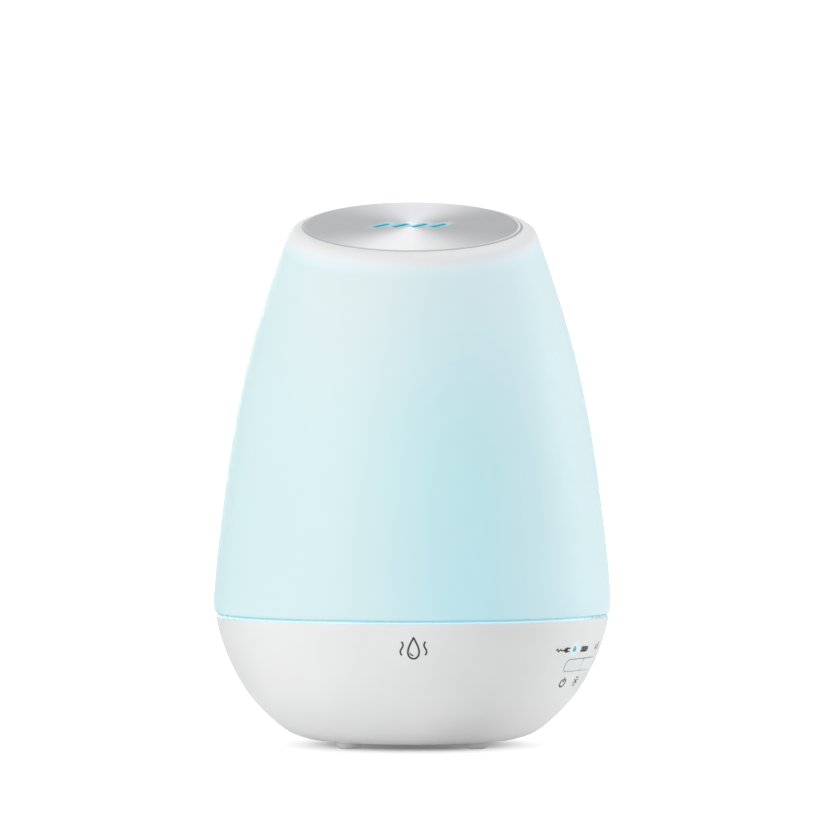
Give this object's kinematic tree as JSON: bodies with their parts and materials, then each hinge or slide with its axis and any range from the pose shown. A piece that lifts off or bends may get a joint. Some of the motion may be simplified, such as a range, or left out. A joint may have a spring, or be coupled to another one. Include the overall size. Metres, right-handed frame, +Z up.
{
  "type": "essential oil diffuser",
  "caption": "Ultrasonic aroma diffuser: frosted lift-off cover with a sloped metal-faced top, over a bowl base holding the water tank, fan, battery, mist maker and push keys.",
  "frame": {"origin": "centre of the footprint, on the ground plane the rubber feet stand on", "axes": "+Z up along the object's axis; the front, towards which the top slopes down, faces -Y; +X is to the right seen from the front"},
  "size_m": [0.141, 0.141, 0.194],
  "materials": {
    "base_white": "satin white ABS",
    "foot_rubber": "matt grey rubber",
    "screw_steel": "zinc-plated steel",
    "tank_plastic": "white polypropylene",
    "seal_silicone": "soft silicone",
    "ring_diffuser": "translucent light guide, lit",
    "board_green": "solder-masked glass fibre",
    "led_body": "clear epoxy over phosphor",
    "piezo_ceramic": "glazed ceramic disc",
    "fan_black": "black nylon",
    "winding_copper": "enamelled copper winding",
    "magnet_iron": "dark ferrite",
    "duct_plastic": "natural ABS",
    "part_aluminium": "satin aluminium",
    "chip_black": "black epoxy",
    "battery_sleeve": "shrink sleeve",
    "wire_red": "PVC insulation",
    "wire_black": "PVC insulation",
    "wire_white": "PVC insulation",
    "key_frosted": "frosted translucent plastic",
    "lens_lit": "clear light pipe, lit",
    "lens_dark": "clear light pipe, unlit",
    "cover_frosted": "frosted translucent plastic, lit from inside",
    "disc_metal": "circular brushed, satin",
    "outlet_teal": "translucent plastic, lit from inside"
  },
  "bodies": {
    "base": {"base_shell": "base_white", "bottom_cover": "base_white", "rubber_feet": "foot_rubber", "base_screws": "screw_steel", "retainer_screws": "screw_steel", "fan_screws": "screw_steel", "duct_screws": "screw_steel", "board_screws": "screw_steel", "cradle_screws": "screw_steel", "charge_screws": "screw_steel", "switch_board_screws": "screw_steel", "charge_port": "screw_steel", "battery_tabs": "screw_steel", "piezo_retainer": "screw_steel", "water_tank": "tank_plastic", "tank_gasket": "seal_silicone", "duct_seal": "seal_silicone", "piezo_seal": "seal_silicone", "light_ring": "ring_diffuser", "led_board": "board_green", "main_board": "board_green", "charge_board": "board_green", "switch_board": "board_green", "ring_leds": "led_body", "indicator_leds": "led_body", "piezo_disc": "piezo_ceramic", "fan_frame": "fan_black", "battery_straps": "fan_black", "fan_stator": "winding_copper", "drive_coil": "magnet_iron", "air_duct": "duct_plastic", "battery_cradle": "duct_plastic", "wire_connectors": "duct_plastic", "capacitors": "part_aluminium", "heat_sink": "part_aluminium", "control_chips": "chip_black", "port_tongue": "chip_black", "tact_switches": "chip_black", "battery_cell": "battery_sleeve", "battery_wires": "wire_red", "charge_wires": "wire_red", "fan_wires": "wire_black", "switch_wires": "wire_black", "piezo_wires": "wire_white", "light_wires": "wire_white", "power_indicator_lens": "lens_lit", "battery_indicator_lens": "lens_dark"},
    "fan_rotor": {"fan_impeller": "fan_black", "fan_shaft": "screw_steel", "fan_magnet": "magnet_iron"},
    "power_key": {"power_button": "key_frosted", "power_switch_plunger": "chip_black"},
    "light_key": {"light_button": "key_frosted", "light_switch_plunger": "chip_black"},
    "cover": {"cover_shell": "cover_frosted", "top_disc": "disc_metal", "outlet_insert": "outlet_teal", "mist_chimney": "tank_plastic", "push_nuts": "screw_steel"},
    "lid": {"tank_lid": "tank_plastic"}
  },
  "joints": [
    {"name": "fan_spin", "type": "hinge", "parent": "base", "child": "fan_rotor", "pos_m": [0, 0.03, 0.019], "axis": [0, 0, 1], "continuous": true},
    {"name": "power_press", "type": "slide", "parent": "base", "child": "power_key", "axis": [-0.9107, 0.4131, 0], "range_m": [0, 0.0006]},
    {"name": "light_press", "type": "slide", "parent": "base", "child": "light_key", "axis": [-0.9107, 0.4131, 0], "range_m": [0, 0.0006]},
    {"name": "cover_lift", "type": "slide", "parent": "base", "child": "cover", "axis": [0, 0, 1], "range_m": [0, 0.16]},
    {"name": "lid_lift", "type": "slide", "parent": "base", "child": "lid", "axis": [0, 0, 1], "range_m": [0, 0.024]}
  ]
}
